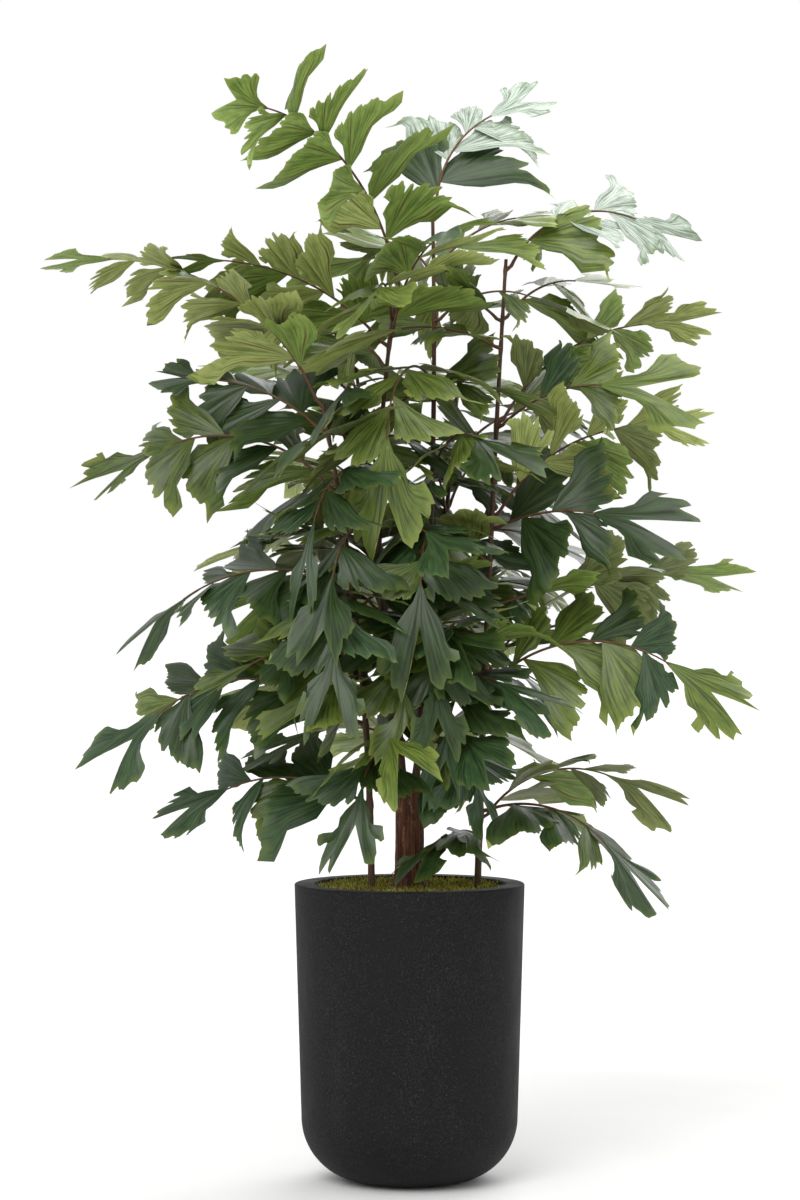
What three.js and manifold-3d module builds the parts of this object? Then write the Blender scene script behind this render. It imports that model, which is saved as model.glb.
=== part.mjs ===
// A potted fishtail palm of the artificial kind: a tall round-bottomed pot, filled and topped with moss, a short
// bark-covered trunk, six slim canes, and fronds of wedge-shaped leaflets along arching ribs.
// Lengths are millimetres and angles degrees. +Z is up, -Y is the front, and the origin is the middle of the
// pot's underside.
import * as THREE from "three";
import { mergeVertices } from "three/addons/utils/BufferGeometryUtils.js";
import Module from "manifold-3d";

const wasm = await Module();
wasm.setup();

// Pot, soil and moss
const POT_HEIGHT = 515;
const POT_RIM_RADIUS = 200;
const POT_WAIST_RADIUS = 188; // where the wall meets the rounded bottom
const POT_ROUND = 110; // radius of the rounded bottom
const POT_RIM_WIDTH = 33;
const POT_EDGE = 3; // bevel along both edges of the rim
const POT_FLOOR = 34;
const POT_INNER_TAPER = 8; // the bore is this much narrower at the floor
const POT_INNER_CHAMFER = 70;
const MOSS_DEPTH = 32;
const MOSS_BELOW_RIM = 8;
const ROUND_STEPS = 40; // facets round the pot
const ARC_STEPS = 6; // facets along the rounded bottom
const GAP = 0.3; // clearance between neighbouring solids

// Trunk and canes
const TRUNK_RADIUS = 23.5; // at its top
const TRUNK_TAPER = 2; // wider above the flare by this much
const TRUNK_FLARE = 7;
const TRUNK_FLARE_HEIGHT = 45;
const TRUNK_TOP = 694;
const TRUNK_SIDES = 14;
const CANE_FOOT_RADIUS = 6.2;
const CANE_TIP_RADIUS = 3;
const CANE_SIDES = 10;
const CANE_STEPS = 6;

// Fronds
const RIB_GAP = 0.45; // between the foot of a rib and its cane
const RIB_FOOT_RADIUS = 3.4;
const RIB_TIP_RADIUS = 2.4;
const RIB_SIDES = 4; // two of them face the leaflets
const RIB_STEPS = 5;
const BARE_SHARE = 0.16; // of the rib, before its first leaflets
const PAIR_SPACING = 84;
const LEAFLET_LENGTH = 190;
const LEAFLET_TAPER = 0.2; // leaflets near the tip are this much shorter
const TERMINAL_LENGTH = 212;
const TERMINAL_SHARE = 0.98; // of the rib, where its end leaflet starts
const LEAFLET_THICKNESS = 2.4;
const ROOT_DEPTH = 1.2; // a leaflet starts this far beyond the middle of its rib
const FAN_FLARE = 0.72; // a leaflet's sides open from this share of their angle
const OPEN_ANGLE = [60, 42]; // leaflet to rib, at the first and at the last pair
const DROOP = 14; // leaflets hang this far below the plane of the frond
const LEAF_BEND = 30; // a leaflet's own curve from root to tip
const SHINGLE = 16; // a leaflet's side towards the tip of the rib is lowered by this turn about its axis
const SWING = 7; // random turn of a leaflet, in its plane
const TWIST = 6; // random turn of a leaflet about its own axis
const DROOP_SPREAD = 8;
const LENGTH_SPREAD = 0.12;
const TERMINAL_SEED = 1000; // apart from the seeds of the other leaflets
const STAGGER = 0.3; // the second leaflet of a pair stands this share of the spacing further out
const ASIDE = [0, 8, -8, 16, -16, 24, -24]; // headings tried where a rib would touch a neighbour
const DODGES = [0, 14, -14, 28, -28]; // droops tried where a leaflet would touch a neighbour
const SHORTER = [1, 0.78, 0.6]; // lengths tried after that

// Outlines of a side leaflet and of the forked one at the tip, as angles from their axis and lengths along the fan
const WEDGE = { from: -28, to: 38, end: [0, 0.25, 0.5, 1], reach: wedgeReach };
const FORK = { from: -27, to: 27, end: [0, 0.3, 0.5, 0.7, 1], reach: forkReach };
const FORK_NOTCH = 0.38; // how far out the notch of the fork lies
const FORK_INNER = 0.4; // share of each half of the fork that the notch takes

function wedgeReach(s) {
  return 1 - 0.36 * s - 0.1 * Math.abs(Math.sin(2 * Math.PI * s));
}

function forkReach(s) {
  const fromNotch = Math.abs(2 * s - 1);
  if (fromNotch < FORK_INNER) return lerp(FORK_NOTCH, 1, fromNotch / FORK_INNER);
  return lerp(1, 0.86, (fromNotch - FORK_INNER) / (1 - FORK_INNER));
}

// Each cane: where its foot stands, the point that its bow leans to, and its tip
const MOSS_TOP = POT_HEIGHT - MOSS_BELOW_RIM;
const CANES = {
  right: { foot: [118, -10, MOSS_TOP], bow: [134, -10], tip: [168, 4, 1600] },
  left: { foot: [-66, -45, MOSS_TOP], bow: [-66, -70], tip: [-150, -70, 1345] },
  centre: { foot: [12, -8, TRUNK_TOP], bow: [52, 8], tip: [40, 20, 1690] },
  middle: { foot: [-11, -11, TRUNK_TOP], bow: [-95, -30], tip: [-12, -36, 1600] },
  back_left: { foot: [-10, 10, TRUNK_TOP], bow: [-50, 90], tip: [-95, 130, 1420] },
  back_right: { foot: [9, 13, TRUNK_TOP], bow: [60, 110], tip: [85, 140, 1390] },
};

// Each frond: height of its foot on the cane, heading (0 is +X, 90 is +Y), length of its rib, angle above level
// at the foot and at the tip, turn about the rib and, where it isn't 1, the size of its end leaflet
const FRONDS = {
  right: [
    [627, 12, 255, 58, -22, -32],
    [640, -28, 250, 22, -45, 0],
    [600, 222, 60, 30, -25, 10, 0.85],
    [858, -18, 350, 46, -32, 55],
    [880, 40, 200, 55, 25, -20, 0.8],
    [872, 245, 190, 15, -75, 0, 0.75],
    [995, 14, 330, 20, 0, -40, 0.85],
    [1130, -32, 205, 24, -10, 60],
    [1150, 8, 340, 62, -2, -55, 0.6],
    [1306, -30, 215, 42, -4, 60],
    [1312, 18, 350, 62, 4, -45, 0.7],
    [1445, 195, 180, 30, -10, 10],
    [1495, 40, 190, 50, 0, 20, 0.7],
    [1580, -2, 265, 68, -24, 25, 0.75],
  ],
  left: [
    [655, 174, 260, 36, -26, -50, 0.9],
    [790, 182, 390, 48, -42, -45],
    [905, 200, 200, 25, -30, -20, 0.7],
    [1028, 182, 300, 28, -36, -20, 0.9],
    [1010, 262, 240, 22, -66, 0],
    [1290, 168, 230, 48, 4, -40, 0.65],
    [1190, 183, 345, 54, -28, -45, 0.85],
    [1338, 183, 470, 70, 0, 25, 0.65],
  ],
  centre: [
    [760, -40, 130, 10, -60, 0, 0.7],
    [960, -85, 220, 15, -70, 0, 0.8],
    [985, -118, 220, 10, -85, 0, 0.85],
    [1115, -95, 250, 25, -70, 0],
    [1385, -112, 290, 35, -90, 0],
    [1585, 20, 180, 55, 10, 35, 0.7],
    [1686, 25, 215, 90, 26, 28, 0.8],
  ],
  middle: [
    [735, 250, 200, 30, -60, 0],
    [905, -88, 200, 25, -60, 0, 0.8],
    [1122, 250, 260, 25, -66, 0],
    [1235, 235, 230, 15, -70, 0],
    [1445, 188, 330, 52, 2, 50, 0.6],
    [1560, 226, 440, 76, 4, 68, 0.7],
    [1458, -62, 230, 75, 15, 0],
  ],
};

// The back canes' fronds: height of the lowest, rise to the next, and the middle of their headings
const BACK = {
  back_left: { low: 770, step: 98, heading: 120 },
  back_right: { low: 815, step: 88, heading: 70 },
};
const BACK_COUNT = 7;
const BACK_SPAN = 60;
const BACK_END = 0.7; // size of their end leaflets
const BACK_LENGTH = 285;
const BACK_LENGTH_STEP = 20;
const GOLDEN_SHARE = 0.618;

const rad = THREE.MathUtils.degToRad;
const lerp = THREE.MathUtils.lerp;
const vec = (x, y, z) => new THREE.Vector3(x, y, z);
const palette = {
  pot: new THREE.MeshStandardMaterial({ color: 0x2b2b2c, roughness: 0.85, metalness: 0 }),
  soil: new THREE.MeshStandardMaterial({ color: 0x3a2c1e, roughness: 1, metalness: 0 }),
  moss: new THREE.MeshStandardMaterial({ color: 0x5a4f1d, roughness: 1, metalness: 0 }),
  bark: new THREE.MeshStandardMaterial({ color: 0x4d2f20, roughness: 0.8, metalness: 0 }),
  cane: new THREE.MeshStandardMaterial({ color: 0x3f2a22, roughness: 0.6, metalness: 0 }),
  leaf: new THREE.MeshStandardMaterial({ color: 0x35502f, roughness: 0.55, metalness: 0 }),
};

// Evenly spread numbers from -1 to 1, the same on every run
function seeded(seed) {
  let state = (seed * 7919 + 12345) % 4294967296;
  return () => {
    state = (state * 1664525 + 1013904223) % 4294967296;
    return state / 2147483648 - 1;
  };
}

// A closed geometry as a solid that can be joined to others
function solidOf(geometry) {
  const bare = geometry.clone();
  bare.deleteAttribute("normal");
  bare.deleteAttribute("uv");
  const merged = mergeVertices(bare, 1e-4);
  return new wasm.Manifold(
    new wasm.Mesh({
      numProp: 3,
      vertProperties: new Float32Array(merged.attributes.position.array),
      triVerts: new Uint32Array(merged.index.array),
    }),
  );
}

function geometryOf(solid) {
  const mesh = solid.getMesh();
  const geometry = new THREE.BufferGeometry();
  geometry.setAttribute("position", new THREE.BufferAttribute(mesh.vertProperties, 3));
  geometry.setIndex(new THREE.BufferAttribute(mesh.triVerts, 1));
  geometry.computeVertexNormals();
  return geometry;
}

// A turned body about +Z from a profile of [radius, height] points
function turned(profile, steps) {
  const points = profile.map(([radius, height]) => new THREE.Vector2(radius, height));
  return new THREE.LatheGeometry(points, steps).rotateX(Math.PI / 2);
}

function potProfile() {
  const floorRadius = POT_WAIST_RADIUS - POT_ROUND;
  const bore = POT_RIM_RADIUS - POT_RIM_WIDTH;
  const profile = [[0, 0]];
  for (let i = 0; i <= ARC_STEPS; i++) {
    const angle = (i / ARC_STEPS) * (Math.PI / 2);
    profile.push([floorRadius + POT_ROUND * Math.sin(angle), POT_ROUND * (1 - Math.cos(angle))]);
  }
  profile.push(
    [POT_RIM_RADIUS, POT_HEIGHT - POT_EDGE],
    [POT_RIM_RADIUS - POT_EDGE, POT_HEIGHT],
    [bore + POT_EDGE, POT_HEIGHT],
    [bore, POT_HEIGHT - POT_EDGE],
    [bore - POT_INNER_TAPER, POT_FLOOR + POT_INNER_CHAMFER],
    [bore - POT_INNER_TAPER - POT_INNER_CHAMFER, POT_FLOOR],
    [0, POT_FLOOR],
  );
  return profile;
}

// Radius of the pot's bore at a height above its chamfer
function boreAt(height) {
  const bore = POT_RIM_RADIUS - POT_RIM_WIDTH;
  const low = POT_FLOOR + POT_INNER_CHAMFER;
  return lerp(bore - POT_INNER_TAPER, bore, (height - low) / (POT_HEIGHT - POT_EDGE - low));
}

function soilProfile() {
  const top = MOSS_TOP - MOSS_DEPTH - GAP;
  const low = POT_FLOOR + POT_INNER_CHAMFER;
  return [
    [0, POT_FLOOR + GAP],
    [boreAt(low) - POT_INNER_CHAMFER - GAP, POT_FLOOR + GAP],
    [boreAt(low) - GAP, low + GAP],
    [boreAt(top) - GAP, top],
    [0, top],
  ];
}

function mossProfile() {
  const foot = MOSS_TOP - MOSS_DEPTH;
  return [
    [0, foot],
    [boreAt(foot) - GAP, foot],
    [boreAt(MOSS_TOP) - GAP, MOSS_TOP],
    [0, MOSS_TOP],
  ];
}

function trunkProfile() {
  const foot = MOSS_TOP + GAP;
  return [
    [0, foot],
    [TRUNK_RADIUS + TRUNK_TAPER + TRUNK_FLARE, foot],
    [TRUNK_RADIUS + TRUNK_TAPER + TRUNK_FLARE * 0.3, foot + TRUNK_FLARE_HEIGHT * 0.45],
    [TRUNK_RADIUS + TRUNK_TAPER, foot + TRUNK_FLARE_HEIGHT],
    [TRUNK_RADIUS, TRUNK_TOP],
    [0, TRUNK_TOP],
  ];
}

// A tapering limb: an upright cylinder whose rings are carried onto frames along a path.
// frameAt(share) gives the point there and two directions across the path.
function limb(frameAt, footRadius, tipRadius, sides, steps) {
  const geometry = new THREE.CylinderGeometry(tipRadius, footRadius, 1, sides, steps);
  geometry.rotateY(Math.PI / sides);
  const position = geometry.attributes.position;
  for (let i = 0; i < position.count; i++) {
    const frame = frameAt(position.getY(i) + 0.5);
    const place = frame.point
      .clone()
      .addScaledVector(frame.across, position.getX(i))
      .addScaledVector(frame.over, -position.getZ(i));
    position.setXYZ(i, place.x, place.y, place.z);
  }
  return geometry;
}

// A cane's middle line. Its bow is half-way up, so the share of its height is the share of the curve.
function caneCurve(cane) {
  const [footX, footY, footZ] = cane.foot;
  const foot = vec(footX, footY, footZ + GAP);
  const tip = vec(...cane.tip);
  return new THREE.QuadraticBezierCurve3(foot, vec(...cane.bow, (foot.z + tip.z) / 2), tip);
}

function caneSolid(cane) {
  const curve = caneCurve(cane);
  const frameAt = (share) => ({ point: curve.getPoint(share), across: vec(1, 0, 0), over: vec(0, 1, 0) });
  return solidOf(limb(frameAt, CANE_FOOT_RADIUS, CANE_TIP_RADIUS, CANE_SIDES, CANE_STEPS));
}

// The frame of a frond's rib at a share of its length: the rib is an arc in the upright plane of its heading
function ribFrames(cane, [height, heading, length, rise, fall, turn], further) {
  const curve = caneCurve(cane);
  const onCane = (height - curve.v0.z) / (curve.v2.z - curve.v0.z);
  const out = vec(Math.cos(rad(heading)), Math.sin(rad(heading)), 0);
  const side = vec(-Math.sin(rad(heading)), Math.cos(rad(heading)), 0);
  const caneRadius = lerp(CANE_FOOT_RADIUS, CANE_TIP_RADIUS, onCane);
  const standOff = caneRadius + RIB_FOOT_RADIUS * Math.sin(rad(rise)) + further;
  const foot = curve.getPoint(onCane).addScaledVector(out, standOff);
  const curl = rad(fall - rise) / length;
  return (share) => {
    const pitch = rad(lerp(rise, fall, share));
    const along = (Math.sin(pitch) - Math.sin(rad(rise))) / curl;
    const up = (Math.cos(rad(rise)) - Math.cos(pitch)) / curl;
    const level = vec(0, 0, Math.cos(pitch)).addScaledVector(out, -Math.sin(pitch));
    return {
      point: foot.clone().addScaledVector(out, along).add(vec(0, 0, up)),
      along: vec(0, 0, Math.sin(pitch)).addScaledVector(out, Math.cos(pitch)),
      across: side.clone().multiplyScalar(Math.cos(rad(turn))).addScaledVector(level, Math.sin(rad(turn))),
      over: level.clone().multiplyScalar(Math.cos(rad(turn))).addScaledVector(side, -Math.sin(rad(turn))),
    };
  };
}

// A point of a leaflet's fan of unit length: rho runs from its root to its end, s from one side to the other
function fanPoint(form, rho, s) {
  const angle = rad(lerp(form.from, form.to, s)) * lerp(FAN_FLARE, 1, rho);
  const radius = rho * form.reach(s);
  return [radius * Math.cos(angle), radius * Math.sin(angle)];
}

// A leaflet: its outline as a thin plate, curved downwards and carried to its place.
// place holds its root, its axis, the direction across it, its upper side and its length.
function leaflet(form, place) {
  const { length, hand } = place;
  const shape = new THREE.Shape();
  const lay = ([x, y]) => new THREE.Vector2(x * length, y * length * hand);
  const end = form.end.map((s) => lay(fanPoint(form, 1, s)));
  shape.setFromPoints([new THREE.Vector2(-ROOT_DEPTH, 0), ...end]);
  const plate = new THREE.ExtrudeGeometry(shape, { depth: LEAFLET_THICKNESS, bevelEnabled: false });
  const position = plate.attributes.position;
  const curve = rad(LEAF_BEND) / length;
  for (let i = 0; i < position.count; i++) {
    const lean = curve * position.getX(i);
    const height = position.getZ(i) - LEAFLET_THICKNESS / 2;
    const x = Math.sin(lean) / curve + height * Math.sin(lean);
    const z = (Math.cos(lean) - 1) / curve + height * Math.cos(lean);
    const spot = place.root
      .clone()
      .addScaledVector(place.axis, x)
      .addScaledVector(place.across, position.getY(i))
      .addScaledVector(place.upper, z);
    position.setXYZ(i, spot.x, spot.y, spot.z);
  }
  return solidOf(plate);
}

// Where a side leaflet stands: turned out from the rib, hung below the frond's plane and twisted on its axis
function leafletPlace(frame, hand, open, droop, twist, length) {
  const page = frame.across
    .clone()
    .multiplyScalar(hand * Math.cos(rad(droop)))
    .addScaledVector(frame.over, -Math.sin(rad(droop)));
  const upper = frame.over
    .clone()
    .multiplyScalar(Math.cos(rad(droop)))
    .addScaledVector(frame.across, hand * Math.sin(rad(droop)));
  const axis = frame.along
    .clone()
    .multiplyScalar(Math.cos(rad(open)))
    .addScaledVector(page, Math.sin(rad(open)));
  upper.applyAxisAngle(axis, rad(twist));
  const across = upper.clone().cross(axis);
  return { root: frame.point, axis, across, upper, length, hand: -hand };
}

const boxesMeet = (a, b) =>
  [0, 1, 2].every((i) => a.min[i] < b.max[i] + GAP && b.min[i] < a.max[i] + GAP);

// What has grown so far, and whether a new solid keeps clear of it, its own frond's rib aside
const grown = [];
const addGrown = (solid, owner) => grown.push({ solid, owner, box: solid.boundingBox() });
function isClear(solid, owner) {
  const box = solid.boundingBox();
  return grown.every(
    (other) => other.owner === owner || !boxesMeet(box, other.box) || solid.minGap(other.solid, GAP) >= GAP,
  );
}

const ribSolid = (frameAt) => solidOf(limb(frameAt, RIB_FOOT_RADIUS, RIB_TIP_RADIUS, RIB_SIDES, RIB_STEPS));

// A frond's rib, set off its cane by its gap and turned aside where it would touch what has grown
function growRib(name, cane, row) {
  const stem = caneSolid(cane);
  for (const aside of ASIDE) {
    const turned = row.with(1, row[1] + aside);
    const near = ribSolid(ribFrames(cane, turned, 1)).minGap(stem, 9);
    const frameAt = ribFrames(cane, turned, 1 + RIB_GAP - near);
    const rib = ribSolid(frameAt);
    if (isClear(rib, name)) {
      addGrown(rib, name);
      return { name, rib, frameAt, length: row[2], end: row[6] ?? 1, leaves: [] };
    }
  }
  throw new Error(`${name} has no room`);
}

// The first of a leaflet's tries, by droop and then by length, that touches nothing grown nor its sisters
function firstClear(owner, sisters, tries) {
  for (const shorter of SHORTER) {
    for (const dodge of DODGES) {
      const solid = tries(dodge, shorter);
      if (isClear(solid, owner) && sisters.every((sister) => solid.minGap(sister, GAP) >= GAP)) return solid;
    }
  }
  return null;
}

// The frame at a share of a rib, on the straight piece of the solid rib there
function onRib(frameAt, share) {
  const piece = Math.min(Math.floor(share * RIB_STEPS), RIB_STEPS - 1);
  const start = frameAt(piece / RIB_STEPS).point;
  const end = frameAt((piece + 1) / RIB_STEPS).point;
  return { ...frameAt(share), point: start.lerp(end, share * RIB_STEPS - piece) };
}

// The forked leaflet at the end of a frond
function growTerminal({ name, frameAt, end, leaves }, seed) {
  const size = TERMINAL_LENGTH * end * (1 + LENGTH_SPREAD * seeded(seed + TERMINAL_SEED)());
  const solid = firstClear(name, leaves, (dodge, shorter) =>
    leaflet(FORK, leafletPlace(frameAt(TERMINAL_SHARE), 1, 0, dodge, 0, size * shorter)),
  );
  if (solid) {
    leaves.push(solid);
    addGrown(solid, name);
  }
}

// The leaflets along a frond's rib, and the whole frond as one solid
function growLeaflets({ name, rib, frameAt, length, leaves }, seed) {
  const random = seeded(seed);
  const pairs = Math.max(2, Math.round((length * (1 - BARE_SHARE)) / PAIR_SPACING));
  for (let pair = 0; pair < pairs; pair++) {
    for (const hand of [1, -1]) {
      const share = lerp(BARE_SHARE, 1, (pair + (hand > 0 ? 0 : STAGGER)) / pairs);
      const frame = onRib(frameAt, share);
      const open = lerp(OPEN_ANGLE[0], OPEN_ANGLE[1], share) + SWING * random();
      const droop = DROOP + DROOP_SPREAD * random();
      const twist = TWIST * random() + SHINGLE * hand;
      const size = LEAFLET_LENGTH * (1 - LEAFLET_TAPER * share) * (1 + LENGTH_SPREAD * random());
      const leaf = firstClear(name, leaves, (dodge, shorter) =>
        leaflet(WEDGE, leafletPlace(frame, hand, open, droop + dodge, twist, size * shorter)),
      );
      if (leaf) leaves.push(leaf);
    }
  }
  const solid = wasm.Manifold.union([rib, ...leaves]).simplify(0.02);
  addGrown(solid, name);
  return solid;
}

const palm = new THREE.Group();
const planter = new THREE.Group();
const plant = new THREE.Group();
palm.add(planter, plant);

// A mesh in a group, standing at its own reference point
function place(group, name, geometry, material, at) {
  const mesh = new THREE.Mesh(geometry.translate(-at.x, -at.y, -at.z), material.clone());
  mesh.name = name;
  mesh.position.copy(at);
  group.add(mesh);
}

const turnedPieces = [
  [planter, "pot", potProfile(), ROUND_STEPS, palette.pot],
  [planter, "soil", soilProfile(), ROUND_STEPS, palette.soil],
  [planter, "moss", mossProfile(), ROUND_STEPS, palette.moss],
  [plant, "trunk", trunkProfile(), TRUNK_SIDES, palette.bark],
];
for (const [group, name, profile, steps, material] of turnedPieces) {
  const geometry = turned(profile, steps);
  addGrown(solidOf(geometry), name);
  place(group, name, geometry, material, vec(0, 0, profile[0][1]));
}

for (const [name, cane] of Object.entries(CANES)) {
  const solid = caneSolid(cane);
  addGrown(solid, name);
  place(plant, `cane_${name}`, geometryOf(solid), palette.cane, vec(...cane.foot));
}

// The fronds at the back of the crown: evenly up their canes, spread over a span of headings by golden shares
for (const [name, { low, step, heading }] of Object.entries(BACK)) {
  FRONDS[name] = Array.from({ length: BACK_COUNT }, (_, i) => {
    const round = (((i * GOLDEN_SHARE) % 1) - 0.5) * BACK_SPAN;
    const length = BACK_LENGTH + BACK_LENGTH_STEP * (i % 3);
    return [low + step * i, heading + round, length, 50 - 4 * (i % 4), -30 + 4 * i, 15 - round / 3, BACK_END];
  });
}

const ribs = [];
for (const [name, rows] of Object.entries(FRONDS)) {
  rows.forEach((row, index) => ribs.push(growRib(`frond_${name}_${index + 1}`, CANES[name], row)));
}
ribs.forEach((rib, index) => growTerminal(rib, index + 1));
ribs.forEach((rib, index) => {
  const solid = growLeaflets(rib, index + 1);
  place(plant, rib.name, geometryOf(solid), palette.leaf, rib.frameAt(0).point);
});

export default palm;
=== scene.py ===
"""Looks of a potted fishtail palm of the artificial kind.

Every frond is grown again by the rule of its solid, with pleated and toothed leaflets on a thin rib.
The canes and the trunk get their bark, the moss its sprigs, and the pot is turned smooth.
Sizes are millimetres and angles degrees unless a note says otherwise, and meshes are made in metres.
"""
import math
from collections import namedtuple

import bpy
import numpy as np
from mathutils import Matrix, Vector, noise
from mathutils.bvhtree import BVHTree


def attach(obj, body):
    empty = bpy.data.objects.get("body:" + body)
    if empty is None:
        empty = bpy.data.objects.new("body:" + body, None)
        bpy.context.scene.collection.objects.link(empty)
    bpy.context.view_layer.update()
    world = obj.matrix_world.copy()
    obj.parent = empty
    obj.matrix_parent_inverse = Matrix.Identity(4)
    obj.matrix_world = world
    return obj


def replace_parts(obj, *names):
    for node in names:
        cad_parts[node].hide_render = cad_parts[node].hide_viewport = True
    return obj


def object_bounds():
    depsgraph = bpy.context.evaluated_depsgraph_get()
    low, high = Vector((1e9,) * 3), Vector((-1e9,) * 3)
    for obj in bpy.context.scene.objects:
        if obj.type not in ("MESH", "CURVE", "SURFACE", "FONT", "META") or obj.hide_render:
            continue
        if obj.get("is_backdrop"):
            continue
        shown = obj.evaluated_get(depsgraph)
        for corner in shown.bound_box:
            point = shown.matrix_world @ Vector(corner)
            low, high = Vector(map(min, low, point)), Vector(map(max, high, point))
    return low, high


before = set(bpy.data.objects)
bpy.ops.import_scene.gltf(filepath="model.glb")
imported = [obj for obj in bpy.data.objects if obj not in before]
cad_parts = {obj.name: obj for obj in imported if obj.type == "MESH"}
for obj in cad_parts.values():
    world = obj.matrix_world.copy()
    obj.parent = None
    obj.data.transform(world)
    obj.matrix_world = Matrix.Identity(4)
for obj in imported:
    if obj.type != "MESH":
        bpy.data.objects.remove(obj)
cad_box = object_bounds()
MM = 0.001

# Pot, moss and trunk, as in the solids
POT_HEIGHT = 515
POT_RIM_RADIUS = 200
POT_WAIST_RADIUS = 188
POT_ROUND = 110
POT_RIM_WIDTH = 33
POT_EDGE = 3
POT_FLOOR = 34
POT_INNER_TAPER = 8
POT_INNER_CHAMFER = 70
MOSS_DEPTH = 32
MOSS_TOP = POT_HEIGHT - 8
GAP = 0.3
TRUNK_RADIUS = 23.5
TRUNK_TAPER = 2
TRUNK_FLARE = 7
TRUNK_FLARE_HEIGHT = 45
TRUNK_TOP = 694

# Canes: foot, the point that the bow leans to half-way up, and tip
CANE_FOOT_RADIUS = 6.2
CANE_TIP_RADIUS = 3
CANES = {
    "right": ((118, -10, MOSS_TOP), (134, -10), (168, 4, 1600)),
    "left": ((-66, -45, MOSS_TOP), (-66, -70), (-150, -70, 1345)),
    "centre": ((12, -8, TRUNK_TOP), (52, 8), (40, 20, 1690)),
    "middle": ((-11, -11, TRUNK_TOP), (-95, -30), (-12, -36, 1600)),
    "back_left": ((-10, 10, TRUNK_TOP), (-50, 90), (-95, 130, 1420)),
    "back_right": ((9, 13, TRUNK_TOP), (60, 110), (85, 140, 1390)),
}

# Fronds, as in the solids: height of the foot on the cane, heading, length of the rib, angle above level at
# foot and tip, turn and, where it isn't 1, the size of the end leaflet
FRONDS = {
    "right": [
        (627, 12, 255, 58, -22, -32),
        (640, -28, 250, 22, -45, 0),
        (600, 222, 60, 30, -25, 10, 0.85),
        (858, -18, 350, 46, -32, 55),
        (880, 40, 200, 55, 25, -20, 0.8),
        (872, 245, 190, 15, -75, 0, 0.75),
        (995, 14, 330, 20, 0, -40, 0.85),
        (1130, -32, 205, 24, -10, 60),
        (1150, 8, 340, 62, -2, -55, 0.6),
        (1306, -30, 215, 42, -4, 60),
        (1312, 18, 350, 62, 4, -45, 0.7),
        (1445, 195, 180, 30, -10, 10),
        (1495, 40, 190, 50, 0, 20, 0.7),
        (1580, -2, 265, 68, -24, 25, 0.75),
    ],
    "left": [
        (655, 174, 260, 36, -26, -50, 0.9),
        (790, 182, 390, 48, -42, -45),
        (905, 200, 200, 25, -30, -20, 0.7),
        (1028, 182, 300, 28, -36, -20, 0.9),
        (1010, 262, 240, 22, -66, 0),
        (1290, 168, 230, 48, 4, -40, 0.65),
        (1190, 183, 345, 54, -28, -45, 0.85),
        (1338, 183, 470, 70, 0, 25, 0.65),
    ],
    "centre": [
        (760, -40, 130, 10, -60, 0, 0.7),
        (960, -85, 220, 15, -70, 0, 0.8),
        (985, -118, 220, 10, -85, 0, 0.85),
        (1115, -95, 250, 25, -70, 0),
        (1385, -112, 290, 35, -90, 0),
        (1585, 20, 180, 55, 10, 35, 0.7),
        (1686, 25, 215, 90, 26, 28, 0.8),
    ],
    "middle": [
        (735, 250, 200, 30, -60, 0),
        (905, -88, 200, 25, -60, 0, 0.8),
        (1122, 250, 260, 25, -66, 0),
        (1235, 235, 230, 15, -70, 0),
        (1445, 188, 330, 52, 2, 50, 0.6),
        (1560, 226, 440, 76, 4, 68, 0.7),
        (1458, -62, 230, 75, 15, 0),
    ],
}
# The back canes' fronds: height of the lowest, rise to the next, and the middle of their headings
BACK = {"back_left": (770, 98, 120), "back_right": (815, 88, 70)}
BACK_COUNT = 7
BACK_SPAN = 60
BACK_END = 0.7  # size of their end leaflets
BACK_LENGTH = 285
BACK_LENGTH_STEP = 20
BACK_RISE = 50
BACK_RISE_STEP = 4
BACK_FALL = -30
BACK_FALL_STEP = 4
BACK_TURN = 15
GOLDEN_SHARE = 0.618

# The rule of the fronds, as in the solids
RIB_FOOT_RADIUS = 3.4
BARE_SHARE = 0.16
TERMINAL_LENGTH = 212
TERMINAL_SHARE = 0.98
TERMINAL_SEED = 1000
DROOP = 14
SHINGLE = 16
LENGTH_SPREAD = 0.12
STAGGER = 0.3
ASIDE = (0, 8, -8, 16, -16, 24, -24)  # further headings that a rib tries, to have room

# Finer shapes of this script
PAIR_SPACING = 70
OPEN_ANGLE = (54, 36)
LEAFLET_LENGTH = 200
LEAFLET_TAPER = 0.35
DODGES = (0, 12, -12, 24, -24, 36, -36)  # further droops that a leaflet tries, to have room
SHORTER = (1, 0.9, 0.78, 0.6)  # and its lengths
LEAF_ROWS = 7
LEAF_COLUMNS = 38
ROW_POWER = 0.8  # rows stand closer towards a leaflet's end
LEAF_THICKNESS = 0.9
ROOT_HALF_WIDTH = 1.6
LEAF_TILT = 0.4  # slope of each half of an end leaflet
RUFFLE = 0.05  # of the leaflet's length, at its end
RUFFLE_SPREAD = (0.3, 1.3)
CUP = 0.8
CUP_SPREAD = (-0.4, 1)
FOLDS = ((3.3, 0.006), (7.1, 0.002), (12.2, 0.001))  # waves across a leaflet, and their height for its radius
VEIN_DEPTH = 0.01
VEIN_SPREAD = 0.035
WOBBLE = 5
WAVES = (0.8, 2.2)  # how many waves a ruffle or a wobble has
TOOTH = 0.04
LOBE_WIDTHS = (0.5, 1.5)
LOBE_LEAN = (-0.9, 0.6)
LOBE_POWER = (0.9, 2)
LOBE_STEP = (0, 0.7)  # of the lobes' depth, all along a lobe
LOBE_FALL = (0.5, 1.2)  # of the lobes' depth, from its point to its sides
FINE_SWING = 10
FINE_TWIST = 12
FINE_DROOP = 10
INNER_STEP = 84  # height between the small fronds inside the crown
OPEN_BAND = (1320, 1455)  # heights without them on these canes, which stand in the open there
OPEN_CANES = ("right", "centre", "back_right")
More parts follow.
